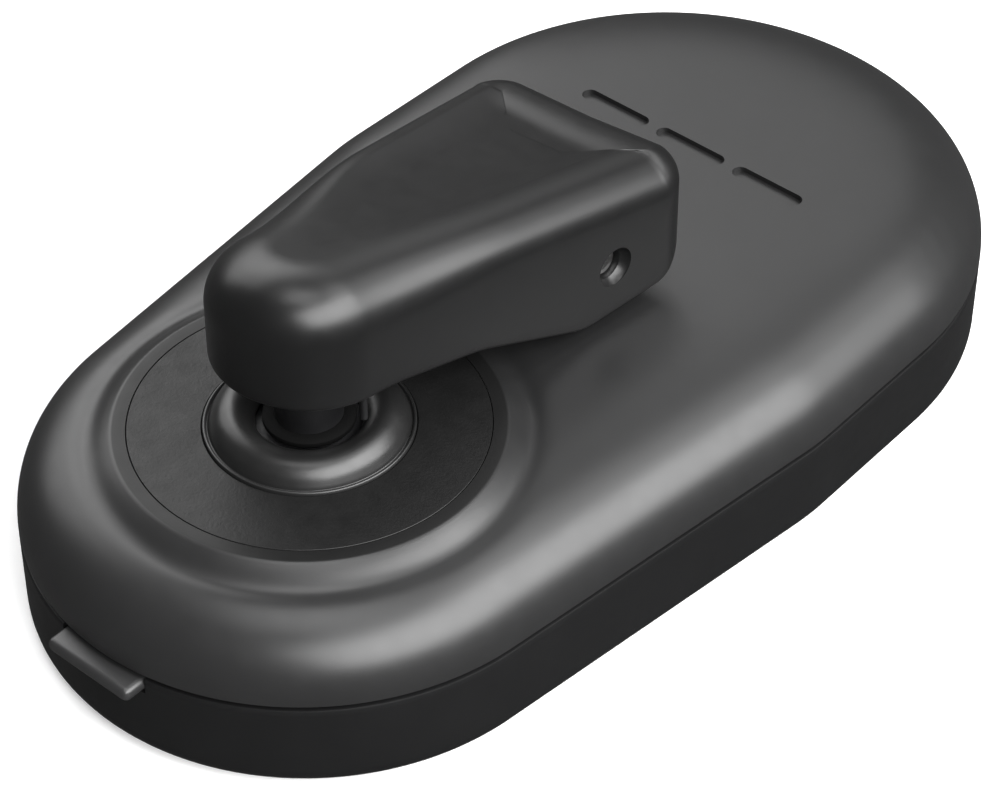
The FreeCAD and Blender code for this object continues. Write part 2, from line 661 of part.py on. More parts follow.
def add_paddle_outline(sketch):
    """A round end about the stem, sides that flare apart, and a straight end with round corners."""
    flare = math.radians(value_of("paddle_flare"))
    radius, corner = value_of("paddle_radius"), value_of("paddle_corner")
    length = value_of("paddle_length")
    # the corner's centre lies where both the side and the end are one corner radius away
    side = (radius - corner) / math.cos(flare) + (length - corner) * math.tan(flare)

    def arc(x, y, size, start, end):
        circle = Part.Circle(Vector(x, y, 0), Vector(0, 0, 1), size)
        return Part.ArcOfCircle(circle, start, end)

    arcs = [arc(0, 0, radius, math.pi + flare, 2 * math.pi - flare),
            arc(side, length - corner, corner, -flare, math.pi / 2),
            arc(-side, length - corner, corner, math.pi / 2, math.pi + flare)]
    shapes = []
    for step, piece in enumerate(arcs):
        shapes += [piece, Part.LineSegment(piece.EndPoint, arcs[(step + 1) % 3].StartPoint)]
    sketch.addGeometry(shapes, False)
    for step in range(3):
        join(sketch, "Tangent", 2 * step, 2, 2 * step + 1, 1)
        join(sketch, "Tangent", 2 * step + 1, 2, (2 * step + 2) % 6, 1)
    join(sketch, "Coincident", 0, 3, -1, 1)
    constrain(sketch, "Radius", 0, text="paddle_radius")
    for index in (2, 4):
        constrain(sketch, "Radius", index, text="paddle_corner")
        constrain(sketch, "DistanceY", -1, 1, index, 3, text="paddle_length - paddle_corner")
    half = "((paddle_radius - paddle_corner) / cos(paddle_flare * 1 deg)" \
           " + (paddle_length - paddle_corner) * tan(paddle_flare * 1 deg))"
    constrain(sketch, "DistanceX", -1, 1, 2, 3, text=half)
    constrain(sketch, "DistanceX", -1, 1, 4, 3, text=f"-{half}")


def make_paddle():
    body = place_on_disk(new_body("paddle", "near_y"))
    outline = new_sketch(body, "paddle_outline")
    add_paddle_outline(outline)
    pad(body, outline, "paddle_top + 4")
    top = new_sketch(body, "paddle_top_cut", "YZ_Plane")
    top.AttachmentOffset = Placement(Vector(0, 0, 0), Rotation(Vector(1, 0, 0), 0))
    bind(top, "AttachmentOffset.Rotation.Angle", "-paddle_cant * 1 deg")
    doc.recompute()
    near, far = "-12", "paddle_length + 6"
    add_polygon(top, [(near, f"paddle_top - paddle_fall * ({near})"),
                      (far, f"paddle_top - paddle_fall * ({far})"),
                      (far, "paddle_top + 12"), (near, "paddle_top + 12")])
    pocket(body, top, "60", middle=True)
    under = new_sketch(body, "paddle_under_cut", "YZ_Plane")
    add_polygon(under, [(near, "-3"), ("paddle_length + 1.5", "-3"),
                        ("paddle_length + 1.5", "under_far"), ("belly_far_y", "belly_far"),
                        ("belly_near_y", "belly_near"), ("under_step_y", "under_step"),
                        ("under_boot_y", "under_boot"), (near, "under_near")])
    pocket(body, under, "60", middle=True)
    solid = body.Tip
    top_face = max(solid.Shape.Faces, key=lambda face: face.CenterOfMass.z)
    rim = [f"Edge{number}" for number, edge in enumerate(solid.Shape.Edges, start=1)
           if any(edge.isSame(other) for other in top_face.Edges)]
    rounding = feature(body, "Fillet", "paddle_top_round")
    rounding.Base = (solid, rim)
    bind(rounding, "Radius", "paddle_round")
    doc.recompute()
    slot = new_sketch(body, "paddle_slot", "YZ_Plane")
    near, far = "lever_near_y - lever_slack", "lever_far_y + lever_slack"
    add_polygon(slot, [(near, "-3"), (far, "-3"), (far, "lever_tip + lever_slack"),
                       ("3", "lever_top + lever_slack"), (near, "lever_top + lever_slack")])
    pocket(body, slot, "2 * (lever_half + lever_slack)", middle=True)
    screw_hole = new_sketch(body, "paddle_screw_hole", "YZ_Plane")
    add_circle(screw_hole, "set_radius", "set_y", "set_z")
    pocket(body, screw_hole)
    mouth = new_sketch(body, "paddle_screw_mouth", "YZ_Plane", level="set_outer")
    add_circle(mouth, "set_mouth", "set_y", "set_z")
    pocket(body, mouth)
    return body


def make_paddle_screw():
    body = place_on_disk(new_body("paddle_set_screw", "near_y"))
    rod = new_sketch(body, "set_screw_rod", "YZ_Plane", level="set_inner")
    add_circle(rod, "set_radius", "set_y", "set_z")
    pad(body, rod, "set_outer - set_inner")
    socket = new_sketch(body, "set_screw_socket", "YZ_Plane", level="set_outer")
    add_polygon(socket, [(f"set_y + set_socket / 2 * cos({60 * step} * 1 deg) / cos(30 * 1 deg)",
                          f"set_z + set_socket / 2 * sin({60 * step} * 1 deg) / cos(30 * 1 deg)")
                         for step in range(6)])
    pocket(body, socket, "set_socket_depth", outward=False)
    pin = new_body("locating_pin", "near_y")
    disc(pin, "locating_pin_rod", "locator_radius", "locator_low", "disk_top + 5.25 - locator_low",
         "locator_x", "locator_y")


# ---------------------------------------------------------------- build, check and write
make_upper_cover()
make_lower_shell()
make_seam_gasket()
make_housing_screws()
make_mount_inserts()
make_battery_door()
make_battery_door_seal()
make_coin_cell()
make_contacts()
make_circuit_board()
make_radio_module()
for side_name, sign in (("left", "-"), ("right", "")):
    make_rocker_switch(side_name, sign)
make_function_button()
make_hub()
make_rocker()
make_lever_arm()
make_paddle()
make_paddle_screw()
doc.recompute()

failed = [thing.Name for thing in doc.Objects
          if "Invalid" in thing.State or "Error" in thing.State]
if failed:
    raise RuntimeError(f"failed objects: {failed}")
sub_parts = [thing for thing in doc.Objects
             if thing.TypeId in ("PartDesign::Body", "Part::Feature")]
for sub_part in sub_parts:
    if sub_part.Shape.isNull() or not sub_part.Shape.isValid() or sub_part.Shape.Volume <= 0:
        raise RuntimeError(f"{sub_part.Label} has no valid shape")
for sub_part in sub_parts:
    sub_part.Shape.exportStep(f"parts/{sub_part.Label}.step")
    print(f"{sub_part.Label}: {len(sub_part.Shape.Solids)} solid, {sub_part.Shape.Volume:.2f} mm3")
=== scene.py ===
import json
import math

import bmesh
import bpy
import numpy as np
from mathutils import Matrix, Vector


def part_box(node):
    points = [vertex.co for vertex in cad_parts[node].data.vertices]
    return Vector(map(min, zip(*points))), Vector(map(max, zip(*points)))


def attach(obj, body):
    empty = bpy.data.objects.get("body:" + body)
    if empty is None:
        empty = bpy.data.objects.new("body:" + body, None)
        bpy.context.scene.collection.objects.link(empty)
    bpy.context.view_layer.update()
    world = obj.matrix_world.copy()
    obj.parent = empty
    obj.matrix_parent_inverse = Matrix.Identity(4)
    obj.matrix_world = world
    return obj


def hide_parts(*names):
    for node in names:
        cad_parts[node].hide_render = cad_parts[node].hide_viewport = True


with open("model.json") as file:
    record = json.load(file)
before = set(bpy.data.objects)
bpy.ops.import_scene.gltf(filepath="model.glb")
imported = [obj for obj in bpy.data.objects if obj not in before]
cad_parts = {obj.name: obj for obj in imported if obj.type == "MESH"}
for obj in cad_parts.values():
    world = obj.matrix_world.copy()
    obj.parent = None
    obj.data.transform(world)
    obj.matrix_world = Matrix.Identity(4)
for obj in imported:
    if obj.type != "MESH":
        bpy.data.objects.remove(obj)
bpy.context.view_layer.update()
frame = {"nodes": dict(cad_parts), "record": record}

MM = 0.001


def low(node):
    return np.array(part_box(node)[0]) / MM


def high(node):
    return np.array(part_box(node)[1]) / MM


# ---------------------------------------------------------------- places read from the frame (mm)
HUB_Y = float((low("hub_disk") + high("hub_disk"))[1] / 2)
DISK_TOP = float(high("hub_disk")[2])
BORE_RADIUS = float((high("hub_disk") - low("hub_disk"))[0] / 2) + 0.08
SEAM_LOW = float(high("lower_shell")[2])
SEAM_HIGH = float(high("seam_gasket")[2])
CELL_Y = float((low("battery_door") + high("battery_door"))[1] / 2)
STEM_RADIUS = float((high("stem") - low("stem"))[0] / 2)
INSERT_RADIUS = 2.0
MOUNT_X = float(high("mount_inserts")[0] - INSERT_RADIUS)
MOUNT_Y = float((low("mount_inserts") + high("mount_inserts"))[1] / 2)

# the pod's outline is the hull of three circles on the Y axis: (centre y, radius)
NEAR, MID, FAR = (HUB_Y, 17.35), (6.30, 19.95), (16.23, 19.77)
COVER_RISE, COVER_ROLL, ROLL_P, ROLL_Q = 5.22, 11.88, 2.125, 3.782
RING_RADIUS, SKIRT_WIDTH = 11.50, 1.90
LAST_CIRCLE = 14.6      # outside this radius the cover's rings follow the pod's outline
COVER_WALL, WALL = 1.40, 1.60
MARK_Y, MARK_STEP = 17.6, 6.2
SLOT_HALF, SLOT_ROUND, SLOT_DEPTH = 2.1, 0.55, 0.35
SCREW_RECESS, DOOR_RECESS, RECESS_TOP = 1.9, 12.1, 2.0
GRAIN_DEPTH = 0.04


# ---------------------------------------------------------------- mesh helpers
def linked(name, data):
    """A new object for a mesh, light or camera, linked to the scene."""
    piece = bpy.data.objects.new(name, data)
    bpy.context.collection.objects.link(piece)
    return piece


def from_points(name, verts, faces):
    """A new object from points in mm."""
    mesh = bpy.data.meshes.new(name)
    mesh.from_pydata([tuple(np.asarray(v) * MM) for v in verts], [], faces)
    return linked(name, mesh)


def clean(mesh, sharp=None):
    """Joins doubled points and turns the faces outwards. With an angle, shades the mesh smooth
    but for the edges that are sharper."""
    work = bmesh.new()
    work.from_mesh(mesh)
    bmesh.ops.remove_doubles(work, verts=work.verts, dist=1e-7)
    bmesh.ops.recalc_face_normals(work, faces=work.faces)
    if work.calc_volume(signed=True) < 0:
        bmesh.ops.reverse_faces(work, faces=work.faces)
    if sharp is not None:
        for face in work.faces:
            face.smooth = True
        for edge in work.edges:
            edge.smooth = edge.is_manifold and edge.calc_face_angle(0) < sharp
    work.to_mesh(mesh)
    work.free()


def as_object(name, verts, faces, material, body, replaced=(), sharp=math.radians(35)):
    """A finished piece from points in mm."""
    return finish_piece(from_points(name, verts, faces), material, body, replaced, sharp)


def finish_piece(piece, material, body, replaced=(), sharp=math.radians(35)):
    """Cleans and shades the piece, gives it its material and puts it on its body."""
    clean(piece.data, sharp)
    piece.data.materials.clear()
    piece.data.materials.append(material)
    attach(piece, body)
    if replaced:
        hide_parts(*replaced)
    return piece


def loft(rings, closed_rings=False):
    """Quads between rings that all have the same number of points, each ring a closed loop."""
    verts, faces = [], []
    count = len(rings[0])
    for ring in rings:
        verts += [tuple(point) for point in ring]
    pairs = len(rings) if closed_rings else len(rings) - 1
    for level in range(pairs):
        a, b = level * count, ((level + 1) % len(rings)) * count
        for i in range(count):
            j = (i + 1) % count
            faces.append((a + i, a + j, b + j, b + i))
    return verts, faces


def capped(rings):
    """A loft with one flat face at each end."""
    verts, faces = loft(rings)
    count = len(rings[0])
    return verts, faces + [tuple(range(count)), tuple(range(len(verts) - count, len(verts)))]


def joined(parts):
    """Several lists of points and faces as one."""
    verts, faces = [], []
    for more_verts, more_faces in parts:
        offset = len(verts)
        verts += more_verts
        faces += [tuple(i + offset for i in face) for face in more_faces]
    return verts, faces


def turn(profile, centre=(0.0, 0.0), steps=180):
    """Rings round the Z axis through centre from a profile of (radius, height)."""
    angles = np.linspace(0, 2 * math.pi, steps, endpoint=False)
    return [np.column_stack([centre[0] + r * np.cos(angles), centre[1] + r * np.sin(angles),
                             np.full(steps, z)]) for r, z in profile]


def smooth_curve(points, per_span=8):
    """A Catmull-Rom curve through the points."""
    pts = np.array([points[0]] + list(points) + [points[-1]], float)
    out = []
    for i in range(1, len(pts) - 2):
        p0, p1, p2, p3 = pts[i - 1:i + 3]
        for step in range(per_span):
            u = step / per_span
            out.append(0.5 * (2 * p1 + (p2 - p0) * u + (2 * p0 - 5 * p1 + 4 * p2 - p3) * u * u
                              + (3 * p1 - p0 - 3 * p2 + p3) * u ** 3))
    out.append(pts[-2])
    return [tuple(p) for p in out]


def cut(piece, cutters):
    """Takes the cutters' volume away from the piece."""
    for cutter in cutters:
        step = piece.modifiers.new("cut", "BOOLEAN")
        step.operation = "DIFFERENCE"
        step.solver = "MANIFOLD"
        step.object = cutter
    bpy.context.view_layer.update()
    evaluated = piece.evaluated_get(bpy.context.evaluated_depsgraph_get())
    result = bpy.data.meshes.new_from_object(evaluated)
    piece.modifiers.clear()
    piece.data = result
    for cutter in cutters:
        bpy.data.objects.remove(cutter, do_unlink=True)


def raw_object(verts, faces, name="cutter"):
    """A closed solid to cut with or to be cut."""
    piece = from_points(name, verts, faces)
    clean(piece.data)
    return piece


def turned_solid(profile, centre=(0.0, 0.0), steps=96):
    """A closed solid of revolution whose profile starts and ends on its axis."""
    return capped(turn(profile, centre, steps))


def prism(outline, z_low, z_high):
    """An upright prism over a list of (x, y)."""
    return capped([[(x, y, z) for x, y in outline] for z in (z_low, z_high)])


def circle_points(radius, x, y, steps=64):
    return [(x + radius * math.cos(2 * math.pi * k / steps),
             y + radius * math.sin(2 * math.pi * k / steps)) for k in range(steps)]


def slot_outline(half, radius, x, y, steps):
    """A round-ended slot along X, its two arcs' centres this far either side of x."""
    arcs = ((side, math.radians(start + 180 * k / steps))
            for side, start in ((1, -90), (-1, 90)) for k in range(steps + 1))
    return [(x + side * half + radius * math.cos(angle), y + radius * math.sin(angle))
            for side, angle in arcs]


# ---------------------------------------------------------------- materials
def land_painted_shade(nodes, links, place, shader, ramp, radius, specular):
    """Painted shade: inside this radius of the hub's axis the surface is painted darker and made
    less glossy, like the disk, standing in for the shade and the dimmer reflection under the
    paddle.
    """
    away = nodes.new("ShaderNodeVectorMath")
    away.operation = "SUBTRACT"
    away.inputs[1].default_value = (0.0, HUB_Y * MM, 0.0)
    flat = nodes.new("ShaderNodeVectorMath")
    flat.operation = "MULTIPLY"
    flat.inputs[1].default_value = (1.0, 1.0, 0.0)
    length = nodes.new("ShaderNodeVectorMath")
    length.operation = "LENGTH"
    edge = nodes.new("ShaderNodeMapRange")
    edge.inputs["From Min"].default_value = (radius - 0.06) * MM
    edge.inputs["From Max"].default_value = (radius + 0.06) * MM
    gloss = nodes.new("ShaderNodeMapRange")
    gloss.inputs["To Min"].default_value = 0.45 * specular
    gloss.inputs["To Max"].default_value = specular
    shade = nodes.new("ShaderNodeMix")
    shade.data_type = "RGBA"
    shade.inputs["A"].default_value = (0.008, 0.008, 0.008, 1)
    links.new(place, away.inputs[0])
    links.new(away.outputs["Vector"], flat.inputs[0])
    links.new(flat.outputs["Vector"], length.inputs[0])
    links.new(length.outputs["Value"], edge.inputs["Value"])
    links.new(edge.outputs["Result"], gloss.inputs["Value"])
    links.new(gloss.outputs["Result"], shader.inputs["Specular IOR Level"])
    links.new(edge.outputs["Result"], shade.inputs["Factor"])
    links.new(ramp.outputs["Color"], shade.inputs["B"])
    links.new(shade.outputs["Result"], shader.inputs["Base Color"])


def material(name, colour, roughness, metallic=0.0, specular=0.5, grain=0.0, grain_size=0.12,
             mottle=0.12, rough_spread=0.06, fine=0.0, painted_shade_radius=None):
    """A procedural surface: colour mottling, uneven gloss and a moulded or turned grain; given a
    radius, also painted shade round the hub's axis.
    """
    made = bpy.data.materials.new(name)
    made.use_nodes = True
    nodes, links = made.node_tree.nodes, made.node_tree.links
    shader = nodes["Principled BSDF"]
    shader.inputs["Metallic"].default_value = metallic
    shader.inputs["Specular IOR Level"].default_value = specular
    where = nodes.new("ShaderNodeTexCoord")

    def noise(size_mm, detail, rough=0.5):
        node = nodes.new("ShaderNodeTexNoise")
        node.inputs["Scale"].default_value = 1.0 / (size_mm * MM)
        node.inputs["Detail"].default_value = detail
        node.inputs["Roughness"].default_value = rough
        links.new(where.outputs["Object"], node.inputs["Vector"])
        return node.outputs["Fac"]

    def spread(source, centre, width):
        node = nodes.new("ShaderNodeMapRange")
        node.inputs["From Min"].default_value = 0.25
        node.inputs["From Max"].default_value = 0.75
        node.inputs["To Min"].default_value = centre - width
        node.inputs["To Max"].default_value = centre + width
        links.new(source, node.inputs["Value"])
        return node.outputs["Result"]

    ramp = nodes.new("ShaderNodeValToRGB")
    ramp.color_ramp.elements[0].position = 0.3
    ramp.color_ramp.elements[1].position = 0.7
    ramp.color_ramp.elements[0].color = tuple(c * (1 - mottle) for c in colour) + (1.0,)
    ramp.color_ramp.elements[1].color = tuple(c * (1 + mottle) for c in colour) + (1.0,)
    links.new(noise(3.5, 4.0), ramp.inputs["Fac"])
    links.new(ramp.outputs["Color"], shader.inputs["Base Color"])
    # painted shade: inside this radius the surface is painted darker and less glossy, standing in
    # for the paddle's shade
    if painted_shade_radius is not None:
        land_painted_shade(nodes, links, where.outputs["Object"], shader, ramp, painted_shade_radius, specular)
    links.new(spread(noise(1.2, 5.0, 0.6), roughness, rough_spread), shader.inputs["Roughness"])
    if grain > 0:
        bump = nodes.new("ShaderNodeBump")
        bump.inputs["Strength"].default_value = grain
        bump.inputs["Distance"].default_value = GRAIN_DEPTH * MM
        links.new(noise(grain_size, 3.0, 0.65), bump.inputs["Height"])
        links.new(bump.outputs["Normal"], shader.inputs["Normal"])
        if fine > 0:
            second = nodes.new("ShaderNodeBump")
            second.inputs["Strength"].default_value = fine
            second.inputs["Distance"].default_value = GRAIN_DEPTH * MM
            links.new(noise(grain_size * 6, 4.0, 0.6), second.inputs["Height"])
            links.new(second.outputs["Normal"], bump.inputs["Normal"])
    return made


# the cover carries painted shade on the land inside its raised ring, under the paddle
COVER = material("cover_satin", (0.0120, 0.0120, 0.0122), 0.36, grain=0.08, grain_size=0.09,
                 mottle=0.05, rough_spread=0.025, specular=0.55, painted_shade_radius=RING_RADIUS - 0.02)
SHELL = material("shell_satin", (0.0060, 0.0060, 0.0062), 0.40, grain=0.10, grain_size=0.09,
                 mottle=0.06, rough_spread=0.03, specular=0.25)
PADDLE = material("paddle_satin", (0.0045, 0.0045, 0.0046), 0.36, grain=0.06, grain_size=0.08,
                  mottle=0.05, rough_spread=0.025, specular=0.50)
DISK = material("disk_grain", (0.0060, 0.0060, 0.0060), 0.44, grain=0.55, grain_size=0.22,
                mottle=0.10, rough_spread=0.06, specular=0.36, fine=0.3)
BOOT = material("boot_rubber", (0.010, 0.010, 0.010), 0.36, grain=0.08, grain_size=0.15,
                mottle=0.08, rough_spread=0.05, specular=0.56)
BUTTON = material("button_satin", (0.0180, 0.0180, 0.0183), 0.36, grain=0.08, grain_size=0.09,
                  mottle=0.06, rough_spread=0.03, specular=0.6)
GASKET = material("gasket_rubber", (0.003, 0.003, 0.003), 0.8, grain=0.2, specular=0.1)
STEEL = material("steel", (0.52, 0.52, 0.52), 0.28, metallic=1.0, grain=0.25, grain_size=0.05,
                 mottle=0.10, rough_spread=0.10)
NICKEL = material("nickel", (0.62, 0.61, 0.58), 0.24, metallic=1.0, grain=0.15, grain_size=0.2,
                  mottle=0.06, rough_spread=0.08)
BRASS = material("brass", (0.60, 0.42, 0.17), 0.30, metallic=1.0, grain=0.25, grain_size=0.06,
                 mottle=0.12, rough_spread=0.10)
ANODISED = material("black_anodised", (0.006, 0.006, 0.0065), 0.40, grain=0.2,
                    grain_size=0.06, mottle=0.1)
INNER = material("inner_plastic", (0.02, 0.02, 0.021), 0.55, grain=0.3, grain_size=0.15)
BOARD = material("solder_mask", (0.010, 0.075, 0.028), 0.30, grain=0.15, grain_size=0.4,
                 mottle=0.18)

BY_SLOT = {
    "cover_plastic": COVER, "shell_plastic": SHELL, "paddle_plastic": PADDLE,
    "button_plastic": BUTTON, "disk_plastic": DISK, "boot_rubber": BOOT, "seal_rubber": GASKET,
    "inner_plastic": INNER, "board": BOARD, "steel": STEEL, "cell_steel": NICKEL,
    "contact_metal": NICKEL, "brass": BRASS, "stem_metal": ANODISED, "lever_metal": ANODISED,
}
for part in frame["record"]["subparts"]:
    node = frame["nodes"][part["node"]]
    node.data.materials.clear()
    node.data.materials.append(BY_SLOT[part["material_slot"]])


# ---------------------------------------------------------------- the pod's outline
def capsule_inset(x, y, first, second):
    """How far inside the hull of two circles on the Y axis a point lies."""
    (y1, r1), (y2, r2) = first, second
    length = y2 - y1
    lean = (r1 - r2) / length
    along = math.sqrt(1 - lean * lean)
    px, py = np.abs(x), y - y1
    k = -lean * px + along * py
    side = px * along + py * lean - r1
    near = np.hypot(px, py) - r1
    far = np.hypot(px, py - length) - r2
    return -np.where(k < 0, near, np.where(k > along * length, far, side))


def pod_inset(x, y):
    """How far inside the pod's outline a point lies."""
    return np.maximum(capsule_inset(x, y, NEAR, MID), capsule_inset(x, y, MID, FAR))


RAYS = 720
ANGLES = np.linspace(0, 2 * math.pi, RAYS, endpoint=False)
RAY = np.column_stack([np.sin(ANGLES), -np.cos(ANGLES)])


def reach(inset):
    """The distance from the hub's axis, on every ray, at which the inset has this value."""
    inset = np.broadcast_to(np.asarray(inset, float), (RAYS,))
    near, far = np.zeros(RAYS), np.full(RAYS, 60.0)
    for _ in range(40):
        middle = (near + far) / 2
        inside = pod_inset(RAY[:, 0] * middle, HUB_Y + RAY[:, 1] * middle) > inset
        near, far = np.where(inside, middle, near), np.where(inside, far, middle)
    return (near + far) / 2


def ring_at(distance, z):
    """A ring of points, one on every ray from the hub's axis."""
    distance = np.broadcast_to(np.asarray(distance, float), (RAYS,))
    return np.column_stack([RAY[:, 0] * distance, HUB_Y + RAY[:, 1] * distance,
                            np.broadcast_to(np.asarray(z, float), (RAYS,))])


def pillow_height(x, y, rise, roll, inset=0.0):
    """The cover's rolled-over surface: upright at the seam, flat on top."""
    part = np.clip((pod_inset(x, y) - inset) / roll, 0, 1)
    return SEAM_HIGH + rise * (1 - (1 - part) ** ROLL_Q) ** (1 / ROLL_P)


def cover_height(x, y):
    """The pillow with the raised ring, its concave skirt and the shallow dip round it."""
    r = np.hypot(x, y - HUB_Y)
    dip = 0.20 * np.exp(-((r - RING_RADIUS - 1.30) / 0.80) ** 2)
    z = pillow_height(x, y, COVER_RISE, COVER_ROLL) - dip
    skirt = np.clip(1 - (r - RING_RADIUS) / SKIRT_WIDTH, 0, 1) ** 2
    return np.where(r <= RING_RADIUS, DISK_TOP, z + (DISK_TOP - z) * skirt)


# ---------------------------------------------------------------- upper cover
def slot_cutters():
    """Three plain slots in a row, the generic mark on the wide end."""
    floor = SEAM_HIGH + COVER_RISE - SLOT_DEPTH
    return [raw_object(*prism(slot_outline(SLOT_HALF, SLOT_ROUND, x, MARK_Y, 16), floor, 13.0))
            for x in (-MARK_STEP, 0.0, MARK_STEP)]


def make_cover():
    rings = []
    # bore and land of the raised ring
    for r, z in ((BORE_RADIUS, DISK_TOP - 1.3), (BORE_RADIUS, DISK_TOP - 0.03),
                 (BORE_RADIUS + 0.03, DISK_TOP), (BORE_RADIUS + 0.3, DISK_TOP),
                 (RING_RADIUS - 0.12, DISK_TOP), (RING_RADIUS - 0.03, DISK_TOP - 0.01)):
        rings.append(ring_at(r, z))
    for r in np.linspace(RING_RADIUS + 0.05, LAST_CIRCLE, 22):
        x, y = RAY[:, 0] * r, HUB_Y + RAY[:, 1] * r
        rings.append(ring_at(r, cover_height(x, y)))
    widest = pod_inset(RAY[:, 0] * LAST_CIRCLE, HUB_Y + RAY[:, 1] * LAST_CIRCLE)
    for share in np.linspace(1, 0, 64)[1:]:
        distance = reach(widest * share ** 2.4)
        x, y = RAY[:, 0] * distance, HUB_Y + RAY[:, 1] * distance
        z = cover_height(x, y) if share > 0 else SEAM_HIGH + 0.12
        rings.append(ring_at(distance, z))
    # rounded lower edge, underside of the rim and the inside
    for inset, z in ((0.04, SEAM_HIGH + 0.04), (0.14, SEAM_HIGH), (COVER_WALL, SEAM_HIGH)):
        rings.append(ring_at(reach(inset), z))
    for share in np.linspace(0, 1, 14)[1:]:
        distance = reach(COVER_WALL + (widest - COVER_WALL) * share)
        x, y = RAY[:, 0] * distance, HUB_Y + RAY[:, 1] * distance
        z = pillow_height(x, y, COVER_RISE - COVER_WALL, COVER_ROLL - COVER_WALL, COVER_WALL)
        rings.append(ring_at(distance, z))
    rings.append(ring_at(BORE_RADIUS + 0.6, DISK_TOP - 1.9))
    cover = raw_object(*loft(rings, closed_rings=True), name="cover_shell")
    cut(cover, slot_cutters())
    return finish_piece(cover, COVER, "housing", ("upper_cover",),
                        sharp=math.radians(40))


# ---------------------------------------------------------------- lower shell
def round_cutter(radius, x, y, steps=64):
    """Cuts a round recess into the underside."""
    return raw_object(*prism(circle_points(radius, x, y, steps), -1, RECESS_TOP))


def make_shell():
    rings = []
    base_round = 1.5
    rings.append(ring_at(reach(WALL), 1.5))
    rings.append(ring_at(reach(WALL), SEAM_LOW))
    rings.append(ring_at(reach(0.16), SEAM_LOW))
    rings.append(ring_at(reach(0.05), SEAM_LOW - 0.04))
    rings.append(ring_at(reach(0.0), SEAM_LOW - 0.14))
    for z in np.linspace(SEAM_LOW - 0.5, base_round, 6):
        rings.append(ring_at(reach(0.0), z))
    for k in range(1, 13):
        angle = math.pi / 2 * k / 12
        rings.append(ring_at(reach(base_round * (1 - math.cos(angle))),
                             base_round * (1 - math.sin(angle))))
    shell = raw_object(*capped(rings), name="shell_body")
    cutters = [round_cutter(SCREW_RECESS, x, y) for x, y in screw_places()]
    cutters.append(round_cutter(DOOR_RECESS, 0, CELL_Y, 160))
    cutters += [round_cutter(INSERT_RADIUS, x, MOUNT_Y) for x in (-MOUNT_X, MOUNT_X)]
    # the notch for the end button
    middle = (low("function_button")[0] + high("function_button")[0]) / 2
    x0, x1 = middle - 3.3, middle + 3.3
    cutters.append(raw_object(*prism([(x0, -38), (x1, -38), (x1, -31), (x0, -31)], 5.32, 7.0)))
    cut(shell, cutters)
    return finish_piece(shell, SHELL, "housing", ("lower_shell",),
                        sharp=math.radians(30))


def screw_places():
    """The four screws' centres, all as far in from the outline."""
    inset = 4.4
    near = (NEAR[1] - inset) * math.sqrt(0.5)
    far_x = (FAR[1] - inset) * math.cos(math.radians(35))
    far_y = (FAR[1] - inset) * math.sin(math.radians(35))
    return [(sign * x, y) for x, y in ((near, HUB_Y - near), (far_x, FAR[0] + far_y))
            for sign in (1, -1)]


def make_gasket():
    rings = [ring_at(reach(i), z) for i, z in ((0.35, SEAM_LOW), (0.30, SEAM_LOW + 0.08),
                                               (0.30, SEAM_HIGH - 0.08), (0.35, SEAM_HIGH),
                                               (1.6, SEAM_HIGH), (1.6, SEAM_LOW))]
    verts, faces = loft(rings, closed_rings=True)
    return as_object("gasket_ring", verts, faces, GASKET, "housing",
                     ("seam_gasket",))


# ---------------------------------------------------------------- hub
def make_hub():
    top, thick = DISK_TOP, 1.0
    outer, hole = BORE_RADIUS - 0.04, 6.27
    profile = [(hole, top - thick), (hole, top - 0.05), (hole + 0.05, top), (outer - 0.02, top),
               (outer, top - 0.02), (outer, top - thick)]
    rings = turn(profile, (0, HUB_Y), 256)
    verts, faces = loft(rings, closed_rings=True)
    as_object("hub_disk_grained", verts, faces, DISK, "housing", ("hub_disk",))

    outside = smooth_curve([(5.90, top + 0.06), (5.80, top + 0.32), (5.55, top + 0.78),
                            (5.12, top + 1.20), (4.60, top + 1.42), (4.10, top + 1.36),
                            (3.65, top + 1.12), (3.30, top + 0.72), (3.15, top + 0.35)], 6)
    profile = [(8.45, top - 1.8), (8.45, top - 1.05), (6.22, top - 1.05), (6.22, top + 0.10),
               (6.19, top + 0.16), (6.12, top + 0.185), (6.05, top + 0.165),
               (6.01, top + 0.10), (5.97, top + 0.04)] + outside
    profile += [(3.2, top + 0.1), (3.6, top - 0.1), (4.5, top - 0.5), (4.6, top - 1.8)]
    rings = turn(profile, (0, HUB_Y), 256)
    verts, faces = loft(rings, closed_rings=True)
    as_object("boot_donut", verts, faces, BOOT, "housing", ("rubber_boot",),
              sharp=math.radians(60))


def make_stem():
    r = STEM_RADIUS
    z0, z1 = float(low("stem")[2]), float(high("stem")[2])
    verts, faces = turned_solid([(r - 0.15, z0), (r, z0 + 0.15), (r, z1 - 0.2), (r - 0.2, z1)],
                                (0, HUB_Y))
    as_object("stem_post", verts, faces, ANODISED, "rocker", ("stem",))
    z0, z1 = float(low("stem_seal")[2]), float(high("stem_seal")[2])
    rings = turn([(r + 0.005, z0), (2.70, z0), (2.75, z0 + 0.1), (2.72, z1 - 0.12),
                  (2.5, z1), (r + 0.005, z1)], (0, HUB_Y), 128)
    verts, faces = loft(rings, closed_rings=True)
    as_object("stem_seal_ring", verts, faces, GASKET, "rocker", ("stem_seal",))


# ---------------------------------------------------------------- paddle
PADDLE_RADIUS, PADDLE_FLARE, PADDLE_LENGTH, PADDLE_CORNER = 5.58, math.radians(5.5), 25.5, 2.4
PADDLE_TOP, PADDLE_FALL, PADDLE_CANT = 12.9, 0.19, 0.12
LEFT_RISE, SCOOP = 0.06, 0.34
SET_Y, SET_Z = 18.6, 4.0    # the set screw's axis, from the hub


